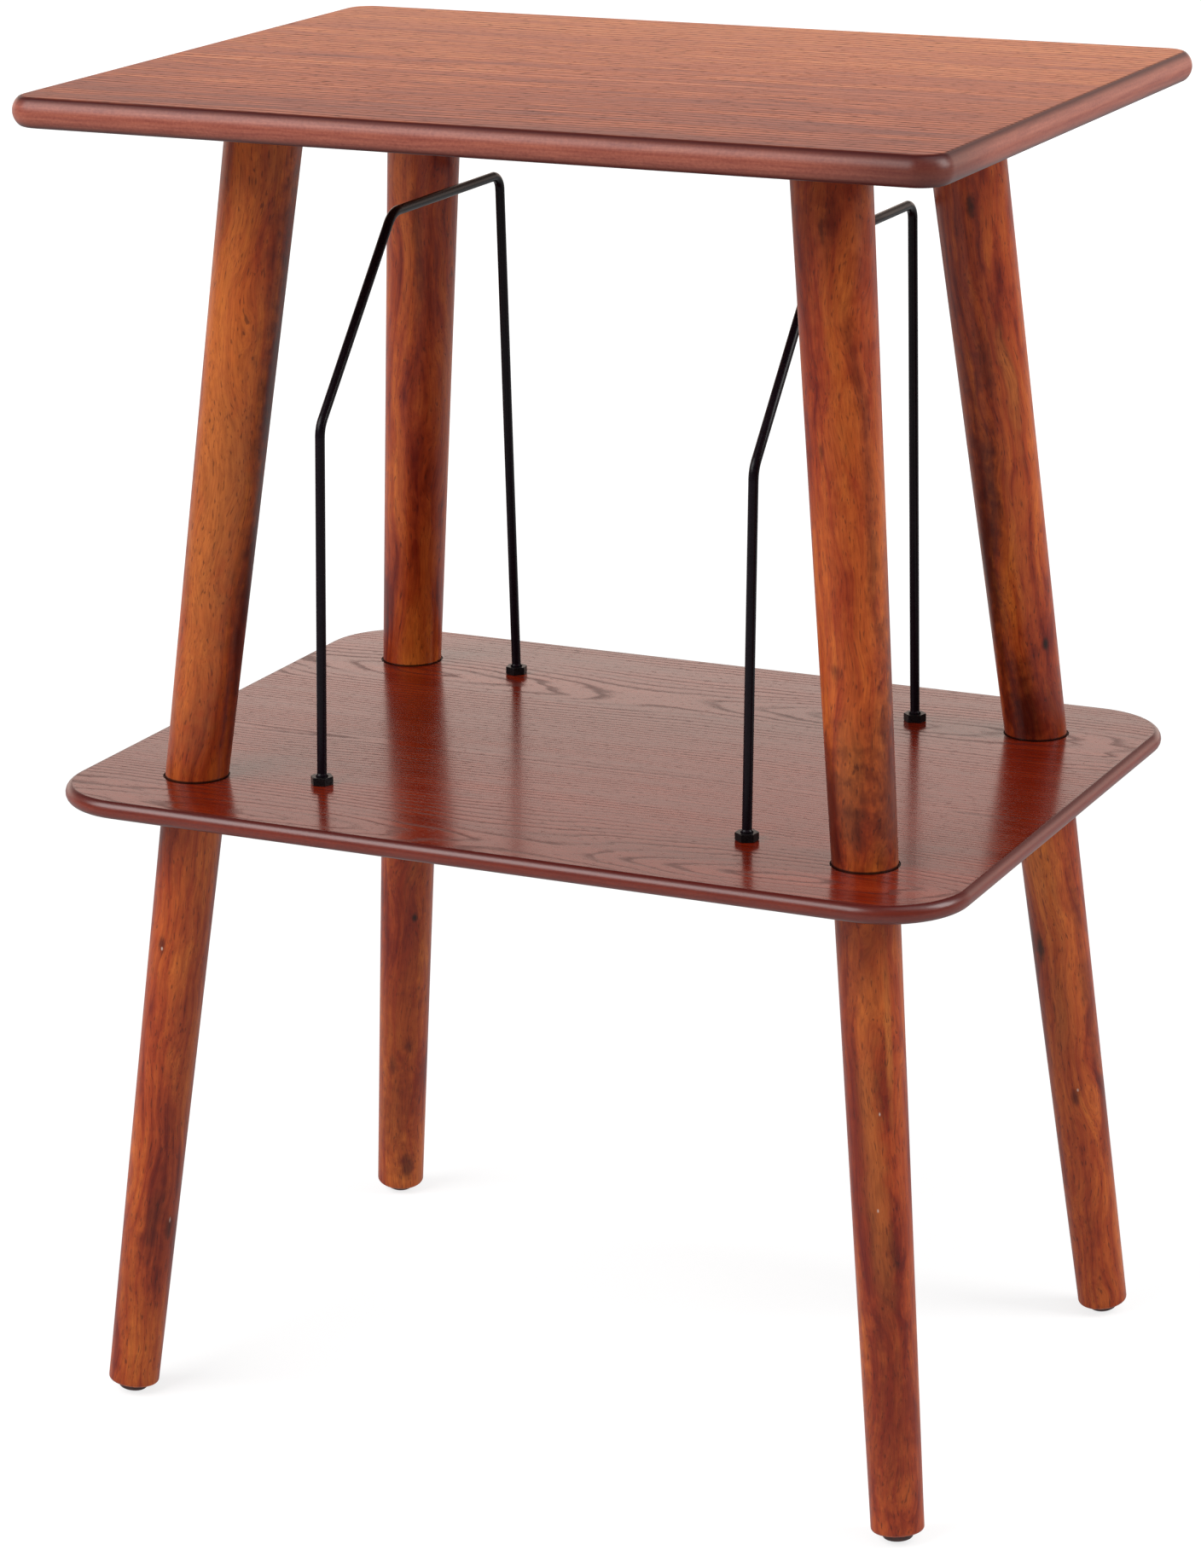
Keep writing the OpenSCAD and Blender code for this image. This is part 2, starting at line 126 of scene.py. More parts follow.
def stained_leg_wood(name, side, end, seed, pith, marks, seat_shade_top):
    """Turned close-grained hardwood, stained red-brown and lacquered. The eye sees satin gloss, fine pores along
    the leg, growth rings that swirl, golden patches and darker red ones where the stain took, and a few knots.
    Below the given seat height the wood is painted nearly black: painted shade for the gap round an upper leg's seat."""
    material, tree, place = new_material(name)
    # The leg's own frame: Z along its axis from the floor, the axis at X = Y = 0
    axis = Vector((-side * LEG_SLOPE, -end * LEG_SLOPE, 1)).normalized()
    turn = axis.rotation_difference(Vector((0, 0, 1)))
    foot = turn @ Vector((side * LEG_X_AT_FLOOR, end * LEG_Y_AT_FLOOR, 0))
    leg = add(tree, "Mapping", {"Vector": place, "Rotation": turn.to_euler(), "Location": -foot})
    # The grain wanders
    width, length, step, detail, roughness = LEG_WANDERING
    scaled = add(tree, "Mapping", {"Vector": leg, "Scale": (1 / width, 1 / width, 1 / length)})
    cloud = add(tree, "TexNoise", {"Vector": scaled, "W": seed + step, "Scale": 1.0, "Detail": detail,
                                   "Roughness": roughness}, noise_dimensions="4D")
    wander = add(tree, "VectorMath", [cloud.outputs["Color"], (0.5, 0.5, 0.5)], operation="SUBTRACT")
    waved = add(tree, "VectorMath", [wander, WANDER, leg], operation="MULTIPLY_ADD")
    # Growth rings about a pith that lies beside the leg
    from_pith = add(tree, "VectorMath", [waved, (*pith, 0)], operation="SUBTRACT")
    across = add(tree, "VectorMath", [from_pith, (1, 1, RING_LEAN)], operation="MULTIPLY")
    radius = add(tree, "VectorMath", [across], operation="LENGTH").outputs["Value"]
    turns = add(tree, "Math", [radius, RING_GAP], operation="DIVIDE")
    ring = add(tree, "Math", [turns], operation="FRACT")
    layers = {
        "ring_line": add(tree, "MapRange", {"Value": ring, "From Min": RING_LINE_FROM, "From Max": 1.0},
                         interpolation_type="SMOOTHSTEP"),
        "ring_swell": add(tree, "Math", [turns, 0.5], operation="PINGPONG"),
    }
    for pattern, (width, length, step, detail, roughness) in LEG_PATTERNS.items():
        scaled = add(tree, "Mapping", {"Vector": leg if pattern == "mottle" else waved,
                                       "Scale": (1 / width, 1 / width, 1 / length)})
        layers[pattern] = add(tree, "TexNoise", {"Vector": scaled, "W": seed + step, "Scale": 1.0, "Detail": detail,
                                                 "Roughness": roughness}, noise_dimensions="4D")
    mottle = layers["mottle"]
    tone = LEG_TONE_START
    for layer, share in LEG_TONE_SHARES.items():
        tone = add(tree, "Math", [layers[layer], share, tone], operation="MULTIPLY_ADD")
    colour = add(tree, "ValToRGB", {"Fac": tone}, stops=LEG_TONES).outputs["Color"]
    # Knots, dents, streaks and patches
    for height, angle, width, length, strength, tint in marks:
        reach, turned = MARK_REACH + MARK_REACH_GROWTH * height, math.radians(angle)
        spot = (reach * math.cos(turned), reach * math.sin(turned), height)
        away = add(tree, "VectorMath", [waved if width > FOLLOWS_GRAIN else leg, spot], operation="SUBTRACT")
        squeezed = add(tree, "VectorMath", [away, (1 / width, 1 / width, 1 / length)], operation="MULTIPLY")
        gap = add(tree, "VectorMath", [squeezed], operation="LENGTH").outputs["Value"]
        gap = add(tree, "Math", [gap, MARK_RAGGEDNESS / 2], operation="SUBTRACT")
        ragged = add(tree, "Math", [mottle, MARK_RAGGEDNESS, gap], operation="MULTIPLY_ADD")
        share = add(tree, "MapRange", {"Value": ragged, "From Min": 1.0, "From Max": 0.15, "To Max": strength},
                    interpolation_type="SMOOTHSTEP")
        colour = add(tree, "Mix", {0: share, 6: colour, 7: linear(tint)}, data_type="RGBA").outputs[2]
    # Fibres and pores darken the wood
    fibre_dark = add(tree, "MapRange", {"Value": layers["fibre"], "From Min": 0.36, "From Max": 0.68, "To Max": 0.40},
                     interpolation_type="SMOOTHSTEP")
    colour = add(tree, "Mix", {0: fibre_dark, 6: colour, 7: linear(FIBRE_TINT)}, data_type="RGBA",
                 blend_type="MULTIPLY").outputs[2]
    pore = add(tree, "MapRange", {"Value": layers["pores"], "From Min": 0.60, "From Max": 0.70},
               interpolation_type="SMOOTHSTEP")
    pore_share = add(tree, "Math", [pore, LEG_PORE_DEPTH], operation="MULTIPLY")
    colour = add(tree, "Mix", {0: pore_share, 6: colour, 7: linear(PORE_TINT)}, data_type="RGBA").outputs[2]
    # Painted shade: the foot of an upper leg is drawn nearly black where it stands in the shaded gap of its seat
    level = add(tree, "SeparateXYZ", {"Vector": place}).outputs["Z"]
    seat_shade = add(tree, "MapRange", {"Value": level, "From Min": seat_shade_top, "From Max": seat_shade_top - SEAT_SHADE_FADE,
                                     "To Max": 0.92}, interpolation_type="SMOOTHSTEP")
    colour = add(tree, "Mix", {0: seat_shade, 6: colour, 7: linear(SEAT_PAINTED_SHADE)}, data_type="RGBA").outputs[2]
    # Lacquer, a little duller in places, which doesn't fill the pores
    lacquer = add(tree, "MapRange", {"Value": mottle, "From Min": 0.3, "From Max": 0.7, "To Min": 0.30,
                                     "To Max": 0.40})
    relief = add(tree, "Math", [layers["fibre"], pore], operation="SUBTRACT")
    bump = add(tree, "Bump", {"Height": relief, "Strength": 0.15, "Distance": 0.0003})
    shader = add(tree, "BsdfPrincipled", {"Base Color": colour, "Roughness": lacquer, "Specular IOR Level": 0.30,
                                          "Normal": bump})
    add(tree, "OutputMaterial", {"Surface": shader})
    return material


# ---------- Veneer and edge of the panels ----------

# What sets each panel apart. Sizes are in millimetres.
TABLETOP_LOOK = {
    "face": TOP_FACE,
    "crowns": [(-60, -250), (160, 210)],
    "squeeze": 0.035,                # how much a distance along the grain counts in a nest of arches
    "ring_gap": 7.5,                 # from ring to ring at a crown
    "tighten": 0.0002,               # how many more rings there are in a mm for each mm away from the crown
    "seed": 11.0,
    "painted_light_rise": (0.0, 0.0009),          # painted light, added to the tone for each mm along X and along Y: the back is drawn paler as though more light fell there
    "contrast": 0.95,                # of the lines and bands along the grain
    "line_size": (44, 1.8),          # along and across the grain
    "pore_size": (7.0, 1.3),
    "arch_pores": 0.13,              # how much thicker the pores stand in the arches
    "pore_depth": 0.8,               # how much of a pore is pore_colour
    "pore_colour": "#38100a",
    "stops": [(0.28, "#672615"), (0.44, "#883f24"), (0.58, "#a15330"), (0.78, "#b96e44")],
    "edge_stops": [(0.3, "#74322a"), (0.7, "#a05a46")],
    # Painted dark reflection: the arris colour and the darker patch about one corner stand in for the dark overhead
    # the lacquer mirrors
    "arris_shade_colour": "#380a0c",
    "corner_shade_spot": (232, -174, 656),
    "shade_reach": 80,
    "shade_strength": 0.62,
    "gloss": 0.44,                   # roughness of the smooth wood, and below it of the open pores and the edge
    "pore_gloss": 0.62,
    "edge_gloss": 0.38,
    "finish": {"Specular IOR Level": 0.3},
}
SHELF_LOOK = {
    "face": SHELF_FACE,
    "crowns": [(120, 104), (150, -146), (-130, -158), (-150, 96)],
    "squeeze": 0.19,
    "ring_gap": 6.4,
    "tighten": 0.0009,
    "seed": 21.0,
    "painted_light_rise": (0, 0),
    "contrast": 0.62,
    "line_size": (26, 1.3),
    "pore_size": (5.5, 0.9),
    "arch_pores": 0.19,
    "pore_depth": 0.85,
    "pore_colour": "#4a0f06",
    "stops": [(0.30, "#480a02"), (0.46, "#5b1103"), (0.60, "#6c1a06"), (0.80, "#7d290d")],
    "edge_stops": [(0.3, "#5a1407"), (0.7, "#7a2812")],
    # Painted dark reflection: the arris colour and the darker patch about one corner stand in for the dark overhead
    # the lacquer mirrors
    "arris_shade_colour": "#460c0a",
    "corner_shade_spot": (222, -160, 318),
    "shade_reach": 60,
    "shade_strength": 0.2,
    "gloss": 0.19,
    "pore_gloss": 0.41,
    "edge_gloss": 0.35,
    "finish": {"Specular IOR Level": 0.5, "Coat Weight": 0.06, "Coat Roughness": 0.06},
}

SWAY, RIPPLE, DRIFT = 30.0, 1.5, 130.0    # mm from one extreme of the grain's bends to the other
NEST_MELT = 20.0                     # mm over which two nests of arches run into each other
CROWN_PHASE = 0.6                    # where in a ring a crown's middle lies: in the smooth late wood
EARLY_TONE, MIDDLE_TONE = -0.24, 0.575    # what early wood adds to the tone, and the tone of plain wood
EARLY_OPENNESS = 0.95                # how open the early wood is between its pores
PLIES_SHARE, SPECKS_SHARE = 0.6, 0.4
ARRIS_SHADE_DEPTH = 0.93                   # how much of the arris takes the painted dark colour
SHADE_CORE = 8.0                     # mm about the corner that take the whole of the painted dark patch

# Patterns fixed to the board: size in mm along X, Y and Z, step of the seed, detail, roughness
BOARD_PATTERNS = {
    "sway": ((300, 95, 95), 0, 2.0, 0.5),
    "ripple": ((40, 12, 12), 1, 2.0, 0.5),
    "drift": ((90, 24, 24), 12, 2.0, 0.5),
    "plies": ((30, 30, 1.4), 8, 3.0, 0.6),
    "specks": ((1.6, 1.6, 1.2), 9, 2.0, 0.6),
}


def oak_veneer_panel(name, look):
    """Open-pored oak veneer with its grain along X on a board, stained red-brown and lacquered. The eye sees arches
    of dark pores with smooth late wood between them; the rounded edge is sanded smooth and stained darker. The dark
    line along its arris is mostly painted dark reflection of the unlit space overhead and partly stain gathered
    there; a darker patch on the edge about one corner is painted dark reflection. Each crown is the middle of a nest
    of arches."""
    material, tree, place = new_material(name)
    # How far a place lies outside the flat face
    half_w, half_d, corner = look["face"]
    folded = add(tree, "VectorMath", [place], operation="ABSOLUTE")
    beyond = add(tree, "VectorMath", [folded, (half_w - corner, half_d - corner, 1e6)], operation="SUBTRACT")
    beyond = add(tree, "VectorMath", [beyond, (0, 0, 0)], operation="MAXIMUM")
    beyond = add(tree, "VectorMath", [beyond], operation="LENGTH").outputs["Value"]
    outside = add(tree, "Math", [beyond, corner], operation="SUBTRACT")
    on_edge = add(tree, "MapRange", {"Value": outside, "From Min": -0.3, "From Max": 0.3},
                  interpolation_type="SMOOTHSTEP")
    # The grain sways across a hand's breadth and ripples across a finger's
    layers = {}
    for pattern, (size, step, detail, roughness) in BOARD_PATTERNS.items():
        scaled = add(tree, "Mapping", {"Vector": place, "Scale": tuple(1 / mm for mm in size)})
        layers[pattern] = add(tree, "TexNoise", {"Vector": scaled, "W": look["seed"] + step, "Scale": 1.0,
                                                 "Detail": detail, "Roughness": roughness}, noise_dimensions="4D")
    split = add(tree, "SeparateXYZ", {"Vector": place})
    across = add(tree, "Math", [layers["sway"], SWAY, split.outputs["Y"]], operation="MULTIPLY_ADD")
    across = add(tree, "Math", [layers["ripple"], RIPPLE, across], operation="MULTIPLY_ADD")
    across = add(tree, "Math", [across, (SWAY + RIPPLE) / 2], operation="SUBTRACT")
    along = add(tree, "Math", [layers["drift"], DRIFT, split.outputs["X"]], operation="MULTIPLY_ADD")
    along = add(tree, "Math", [along, DRIFT / 2], operation="SUBTRACT")
    # Patterns that follow the grain: size in mm along and across it. Pores are about 0.3 mm wide and 4 mm long, and
    # are drawn wider so that they show.
    grain_patterns = {
        "bands": ((260, 14), 6, 3.0, 0.5),
        "pores": (look["pore_size"], 2, 2.0, 0.5),
        "lines": (look["line_size"], 4, 3.0, 0.65),
    }
    lengthwise = add(tree, "CombineXYZ", {"X": split.outputs["X"], "Y": across})
    for pattern, ((length, width), step, detail, roughness) in grain_patterns.items():
        scaled = add(tree, "Mapping", {"Vector": lengthwise, "Scale": (1 / length, 1 / width, 1)})
        layers[pattern] = add(tree, "TexNoise", {"Vector": scaled, "W": look["seed"] + step, "Scale": 1.0,
                                                 "Detail": detail, "Roughness": roughness}, noise_dimensions="4D")
    # Rings about each crown, closer together away from it
    bent = add(tree, "CombineXYZ", {"X": along, "Y": across})
    nest = None
    for crown in look["crowns"]:
        away = add(tree, "VectorMath", [bent, (*crown, 0)], operation="SUBTRACT")
        away = add(tree, "VectorMath", [away, (look["squeeze"], 1, 1)], operation="MULTIPLY")
        away = add(tree, "VectorMath", [away], operation="LENGTH").outputs["Value"]
        nest = away if nest is None else add(tree, "Math", [nest, away, NEST_MELT], operation="SMOOTH_MIN")
    rings_per_mm = add(tree, "Math", [nest, look["tighten"], 1 / look["ring_gap"]], operation="MULTIPLY_ADD")
    turns = add(tree, "Math", [rings_per_mm, nest, CROWN_PHASE], operation="MULTIPLY_ADD")
    ring = add(tree, "Math", [turns], operation="FRACT")
    # Early wood, full of pores, at the start of each ring, closing towards the smooth late wood. Some years grew
    # more of it than others.
    opens = add(tree, "MapRange", {"Value": ring, "From Min": 0.0, "From Max": 0.22}, interpolation_type="SMOOTHSTEP")
    closes = add(tree, "MapRange", {"Value": ring, "From Min": 0.55, "From Max": 0.15},
                 interpolation_type="SMOOTHSTEP")
    grown = add(tree, "MapRange", {"Value": layers["bands"], "From Min": 0.38, "From Max": 0.58, "To Min": 0.25,
                                   "To Max": 1.0}, interpolation_type="SMOOTHSTEP")
    early = add(tree, "Math", [opens, closes], operation="MULTIPLY")
    early = add(tree, "Math", [early, grown], operation="MULTIPLY")
    thick = add(tree, "Math", [early, look["arch_pores"], layers["pores"]], operation="MULTIPLY_ADD")
    pore = add(tree, "MapRange", {"Value": thick, "From Min": 0.57, "From Max": 0.71},
               interpolation_type="SMOOTHSTEP")
    # The face: darker early wood, lines and bands along the grain, and pores
    # Painted light: the tone rises towards the back of the panel, as though more light fell there
    painted_light = add(tree, "VectorMath", [place, (*look["painted_light_rise"], 0)], operation="DOT_PRODUCT").outputs["Value"]
    tone = add(tree, "Math", [early, EARLY_TONE, painted_light], operation="MULTIPLY_ADD")
    tone = add(tree, "Math", [layers["lines"], look["contrast"], tone], operation="MULTIPLY_ADD")
    tone = add(tree, "Math", [layers["bands"], look["contrast"], tone], operation="MULTIPLY_ADD")
    tone = add(tree, "Math", [tone, MIDDLE_TONE - look["contrast"]], operation="ADD")
    face_colour = add(tree, "ValToRGB", {"Fac": tone}, stops=look["stops"]).outputs["Color"]
    pore_share = add(tree, "Math", [pore, look["pore_depth"]], operation="MULTIPLY")
    face_colour = add(tree, "Mix", {0: pore_share, 6: face_colour, 7: linear(look["pore_colour"])},
                      data_type="RGBA").outputs[2]
    # The edge: faint lines along the board's plies and small specks
    edge_tone = add(tree, "Math", [layers["specks"], SPECKS_SHARE], operation="MULTIPLY")
    edge_tone = add(tree, "Math", [layers["plies"], PLIES_SHARE, edge_tone], operation="MULTIPLY_ADD")
    edge_colour = add(tree, "ValToRGB", {"Fac": edge_tone}, stops=look["edge_stops"]).outputs["Color"]
    colour = add(tree, "Mix", {0: on_edge, 6: face_colour, 7: edge_colour}, data_type="RGBA").outputs[2]
    # The arris, from 1.6 mm inside the flat face to 3.9 mm outside it, dark in its middle: mostly painted dark
    # reflection of the unlit space overhead, partly stain gathered there
    inner = add(tree, "MapRange", {"Value": outside, "From Min": -1.6, "From Max": 0.6},
                interpolation_type="SMOOTHSTEP")
    outer = add(tree, "MapRange", {"Value": outside, "From Min": 3.9, "From Max": 0.8},
                interpolation_type="SMOOTHSTEP")
    arris = add(tree, "Math", [inner, outer], operation="MULTIPLY")
    arris = add(tree, "Math", [arris, ARRIS_SHADE_DEPTH], operation="MULTIPLY")
    dark = linear(look["arris_shade_colour"])
    colour = add(tree, "Mix", {0: arris, 6: colour, 7: dark}, data_type="RGBA").outputs[2]
    # Painted dark reflection: a darker patch on the edge about one corner, standing in for the dark the lacquer
    # mirrors there
    apart = add(tree, "VectorMath", [place, look["corner_shade_spot"]], operation="DISTANCE").outputs["Value"]
    corner_shade = add(tree, "MapRange", {"Value": apart, "From Min": look["shade_reach"], "From Max": SHADE_CORE,
                                  "To Max": look["shade_strength"]}, interpolation_type="SMOOTHSTEP")
    corner_shade = add(tree, "Math", [corner_shade, on_edge], operation="MULTIPLY")
    colour = add(tree, "Mix", {0: corner_shade, 6: colour, 7: dark}, data_type="RGBA").outputs[2]
    # Pores are pits that the lacquer doesn't fill
    open_grain = add(tree, "Math", [early, EARLY_OPENNESS], operation="MULTIPLY")
    open_grain = add(tree, "Math", [open_grain, pore], operation="MAXIMUM")
    on_face = add(tree, "Math", [1.0, on_edge], operation="SUBTRACT")
    pit = add(tree, "Math", [on_face, open_grain], operation="MULTIPLY")
    gloss = look["gloss"]
    rough = add(tree, "Math", [pit, look["pore_gloss"] - gloss, gloss], operation="MULTIPLY_ADD")
    rough = add(tree, "Math", [on_edge, look["edge_gloss"] - gloss, rough], operation="MULTIPLY_ADD")
    depth = add(tree, "Math", [pit, -1.0], operation="MULTIPLY")
    bump = add(tree, "Bump", {"Height": depth, "Strength": 0.05, "Distance": 0.0003})
    shader = add(tree, "BsdfPrincipled", {"Base Color": colour, "Roughness": rough, "Normal": bump, **look["finish"]})
    add(tree, "OutputMaterial", {"Surface": shader})
    return material


# ---------- Black wire, nuts and the small metal parts ----------

def powder_coat(name, stops, roughness):
    """Black powder coat on steel. The eye sees satin black with the faint orange peel of sprayed powder, whose
    humps are about 1 mm wide."""
    material, tree, place = new_material(name)
    peel = add(tree, "TexNoise", {"Vector": place, "Scale": 1.1, "Detail": 2.0})
    tint = add(tree, "ValToRGB", {"Fac": peel}, stops=stops).outputs["Color"]
    rough = add(tree, "Math", [peel, 0.1, roughness], operation="MULTIPLY_ADD")
    bump = add(tree, "Bump", {"Height": peel, "Strength": 0.15, "Distance": 0.0001})
    shader = add(tree, "BsdfPrincipled", {"Base Color": tint, "Roughness": rough, "Specular IOR Level": 0.14,
                                          "Normal": bump})
    add(tree, "OutputMaterial", {"Surface": shader})
    return material


def plated_metal(name, stops, roughness):
    """Turned and plated steel or brass. The eye sees a clean metal sheen with fine turning marks, drawn 0.4 mm
    apart along Z so that they show."""
    material, tree, place = new_material(name)
    scaled = add(tree, "Mapping", {"Vector": place, "Scale": (1 / 2, 1 / 2, 1 / 0.4)})
    marks = add(tree, "TexNoise", {"Vector": scaled, "Scale": 1.0, "Detail": 2.0})
    tint = add(tree, "ValToRGB", {"Fac": marks}, stops=stops).outputs["Color"]
    rough = add(tree, "Math", [marks, 0.15, roughness], operation="MULTIPLY_ADD")
    bump = add(tree, "Bump", {"Height": marks, "Strength": 0.1, "Distance": 0.0001})
    shader = add(tree, "BsdfPrincipled", {"Base Color": tint, "Metallic": 1.0, "Roughness": rough, "Normal": bump})
    add(tree, "OutputMaterial", {"Surface": shader})
    return material


def glide_plastic(name):
    """Moulded dark brown polyethylene. The eye sees a soft sheen, scuffed over the lowest 2.5 mm, where it stands
    on the floor."""
    material, tree, place = new_material(name)
    cloudy = add(tree, "Mapping", {"Vector": place, "Scale": (1 / 3, 1 / 3, 1 / 1.5)})
    cloud = add(tree, "TexNoise", {"Vector": cloudy, "Scale": 1.0, "Detail": 3.0, "Roughness": 0.6})
    scratched = add(tree, "Mapping", {"Vector": place, "Scale": (1 / 0.7, 1 / 3, 1 / 0.7)})
    scuff = add(tree, "TexNoise", {"Vector": scratched, "Scale": 1.0, "Detail": 2.0, "Roughness": 0.6})
    tint = add(tree, "ValToRGB", {"Fac": cloud}, stops=[(0.3, "#2f1614"), (0.7, "#482420")]).outputs["Color"]
    height = add(tree, "SeparateXYZ", {"Vector": place}).outputs["Z"]
    low = add(tree, "MapRange", {"Value": height, "From Min": 2.5, "From Max": 0.3}, interpolation_type="SMOOTHSTEP")
    worn = add(tree, "MapRange", {"Value": scuff, "From Min": 0.5, "From Max": 0.65, "To Max": 0.5},
               interpolation_type="SMOOTHSTEP")
    share = add(tree, "Math", [low, worn], operation="MULTIPLY")
    tint = add(tree, "Mix", {0: share, 6: tint, 7: linear("#77605a")}, data_type="RGBA").outputs[2]
    bump = add(tree, "Bump", {"Height": cloud, "Strength": 0.1, "Distance": 0.0002})
    shader = add(tree, "BsdfPrincipled", {"Base Color": tint, "Roughness": 0.42, "Normal": bump})
    add(tree, "OutputMaterial", {"Surface": shader})
    return material


# ---------- Dressing ----------

MERGE_WITHIN = 0.00001               # metres
FLAT_WITHIN = math.radians(0.4)      # triangles that turn less than this are one flat face
SMOOTH_UP_TO = math.radians(24)


def dress(node, material):
    """Gives every face of a CAD node one material."""
    for slot in nodes[node].material_slots:
        slot.material = material


def eased(node, material, width, sharpest=30, within=None):
    """Stands for a CAD node: its own shape with every edge that turns more than sharpest degrees eased over width
    millimetres, as sanding and paint leave it. Within gives the half width and half depth inside which a panel's
    edges are those of its holes, and are left alone."""
    mesh = nodes[node].data.copy()
    made = bpy.data.objects.new(node + "_eased", mesh)
    scene.collection.objects.link(made)
    bpy.ops.object.select_all(action="DESELECT")
    made.select_set(True)
    bpy.context.view_layer.objects.active = made
    bpy.ops.object.mode_set(mode="EDIT")
    bpy.ops.mesh.select_mode(type="VERT")
    bpy.ops.mesh.select_all(action="SELECT")
    bpy.ops.mesh.remove_doubles(threshold=MERGE_WITHIN)
    bpy.ops.mesh.customdata_custom_splitnormals_clear()
    bpy.ops.mesh.dissolve_limited(angle_limit=FLAT_WITHIN)
    bpy.ops.mesh.select_mode(type="EDGE")
    bpy.ops.mesh.select_all(action="DESELECT")
    bpy.ops.mesh.edges_select_sharp(sharpness=math.radians(sharpest))
    if within:
        bpy.ops.object.mode_set(mode="OBJECT")
        for edge in mesh.edges:
            middle = (mesh.vertices[edge.vertices[0]].co + mesh.vertices[edge.vertices[1]].co) / 2
            if abs(middle.x) < within[0] * MM and abs(middle.y) < within[1] * MM:
                edge.select = False
        bpy.ops.object.mode_set(mode="EDIT")
    bpy.ops.mesh.bevel(offset=width * MM, segments=3, affect="EDGES", clamp_overlap=True)
    bpy.ops.object.mode_set(mode="OBJECT")
    bpy.ops.object.shade_smooth_by_angle(angle=SMOOTH_UP_TO)
    # Broad faces keep their own direction, so that only the eased edges turn the light
    bpy.ops.object.modifier_add(type="WEIGHTED_NORMAL")
    made.modifiers[-1].keep_sharp = True
    made.modifiers[-1].weight = 100
    bpy.ops.object.modifier_apply(modifier=made.modifiers[-1].name)
    mesh.materials.clear()
    mesh.materials.append(material)
    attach(made, "root")
    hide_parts(node)


top_veneer = oak_veneer_panel("oak_veneer_tabletop", TABLETOP_LOOK)
eased("tabletop", top_veneer, 1.6, sharpest=22, within=(222, 164))
shelf_veneer = oak_veneer_panel("oak_veneer_shelf", SHELF_LOOK)
eased("shelf", shelf_veneer, 1.2, sharpest=22, within=(215, 152))

# Marks on the legs: height above the floor, angle round the leg, half width, half length, strength, colour
LEG_MARKS = {
    "front_left_upper_leg": [
        (480, -95, 22, 210, 0.8, GOLD), (470, 14, 22, 260, 0.95, DARK), (620, -50, 14, 50, 0.45, RED)],
    "front_right_upper_leg": [
        (617, -85, 1.8, 9, 0.9, KNOT), (517, -104, 2.6, 7, 0.6, KNOT), (417, -102, 4, 6, 0.5, DARK),
        (362, -133, 5, 48, 0.95, DARK), (367, -80, 6, 60, 0.7, GOLD), (622, -68, 6, 26, 0.5, DARK),
        (640, -60, 30, 24, 0.4, RED), (560, -66, 34, 260, 0.25, RED), (500, -32, 5, 170, 0.5, DARK),
        (590, -118, 9, 70, 0.45, RED), (350, -116, 20, 60, 0.85, DARK), (400, 2, 12, 90, 0.6, DARK),
        (360, -22, 20, 66, 0.7, DARK)],
    "rear_left_upper_leg": [
        (560, -60, 6, 50, 0.5, DARK)],
    "rear_right_upper_leg": [
        (602, -73, 3.2, 9, 0.85, KNOT), (518, -81, 6, 32, 0.6, DARK), (505, -42, 6, 40, 0.7, GOLD),
        (376, -30, 2.6, 5, 0.95, KNOT), (430, -116, 14, 140, 0.9, DARK), (338, -80, 20, 44, 0.9, DARK),
        (335, -10, 16, 36, 0.7, RED), (450, -95, 5, 50, 0.5, DARK)],
    "front_left_lower_leg": [
        (240, -97, 3, 6, 0.75, DARK), (238, -96, 0.8, 1.3, 0.9, DENT), (92, -18, 4, 10, 0.8, DARK),
        (96, -16, 0.8, 2.4, 0.9, DENT), (100, -60, 8, 26, 0.55, DARK), (73, -34, 5, 16, 0.6, RED),
        (60, -105, 16, 70, 0.3, RED)],
    "front_right_lower_leg": [
        (190, -66, 9, 130, 0.7, GOLD), (150, -100, 16, 200, 0.35, RED), (106, -94, 5, 13, 0.7, DARK),
        (164, -75, 0.7, 1.4, 0.9, DENT), (210, -63, 0.6, 1.2, 0.8, DENT), (250, -40, 3, 60, 0.8, GOLD),
        (200, -100, 8, 120, 0.5, RED), (70, -72, 24, 95, 0.6, RED)],
    "rear_left_lower_leg": [
        (150, -65, 26, 230, 0.5, RED), (177, -44, 2.4, 4, 0.95, KNOT), (85, -90, 4.5, 10, 0.7, KNOT),
        (96, -52, 4, 7, 0.55, DARK), (25, -38, 5, 10, 0.7, DARK), (60, -70, 20, 50, 0.45, RED)],
    "rear_right_lower_leg": [
        (213, -114, 4, 13, 0.8, KNOT), (132, -70, 4.5, 8, 0.75, DARK), (133, -68, 0.8, 1.2, 0.8, DENT),
        (48, -79, 6, 10, 0.65, DARK), (180, -18, 7, 200, 0.45, DARK), (180, -88, 7, 40, 0.5, GOLD)],
}
PITHS = ((26, 9), (-22, 16), (12, -28), (-30, -8))    # mm beside the leg's axis
FIRST_SEED, NEXT_SEED = 31.0, 7
SEAT_SHADE_TOPS = {"upper": SHELF_TOP + 1.3, "lower": -10.0}    # where the painted seat shade starts; a lower leg has none: this is below the floor
for number, leg in enumerate(LEG_MARKS):
    end, side, stretch = leg.split("_")[:3]
    wood = stained_leg_wood("stained_hardwood_" + leg, SIDES[side], ENDS[end], FIRST_SEED + NEXT_SEED * number,
                            PITHS[number % len(PITHS)], LEG_MARKS[leg], SEAT_SHADE_TOPS[stretch])
    eased(leg, wood, 0.8)
    if stretch == "lower":
        dress(f"{end}_{side}_glide", glide_plastic(f"glide_plastic_{end}_{side}"))

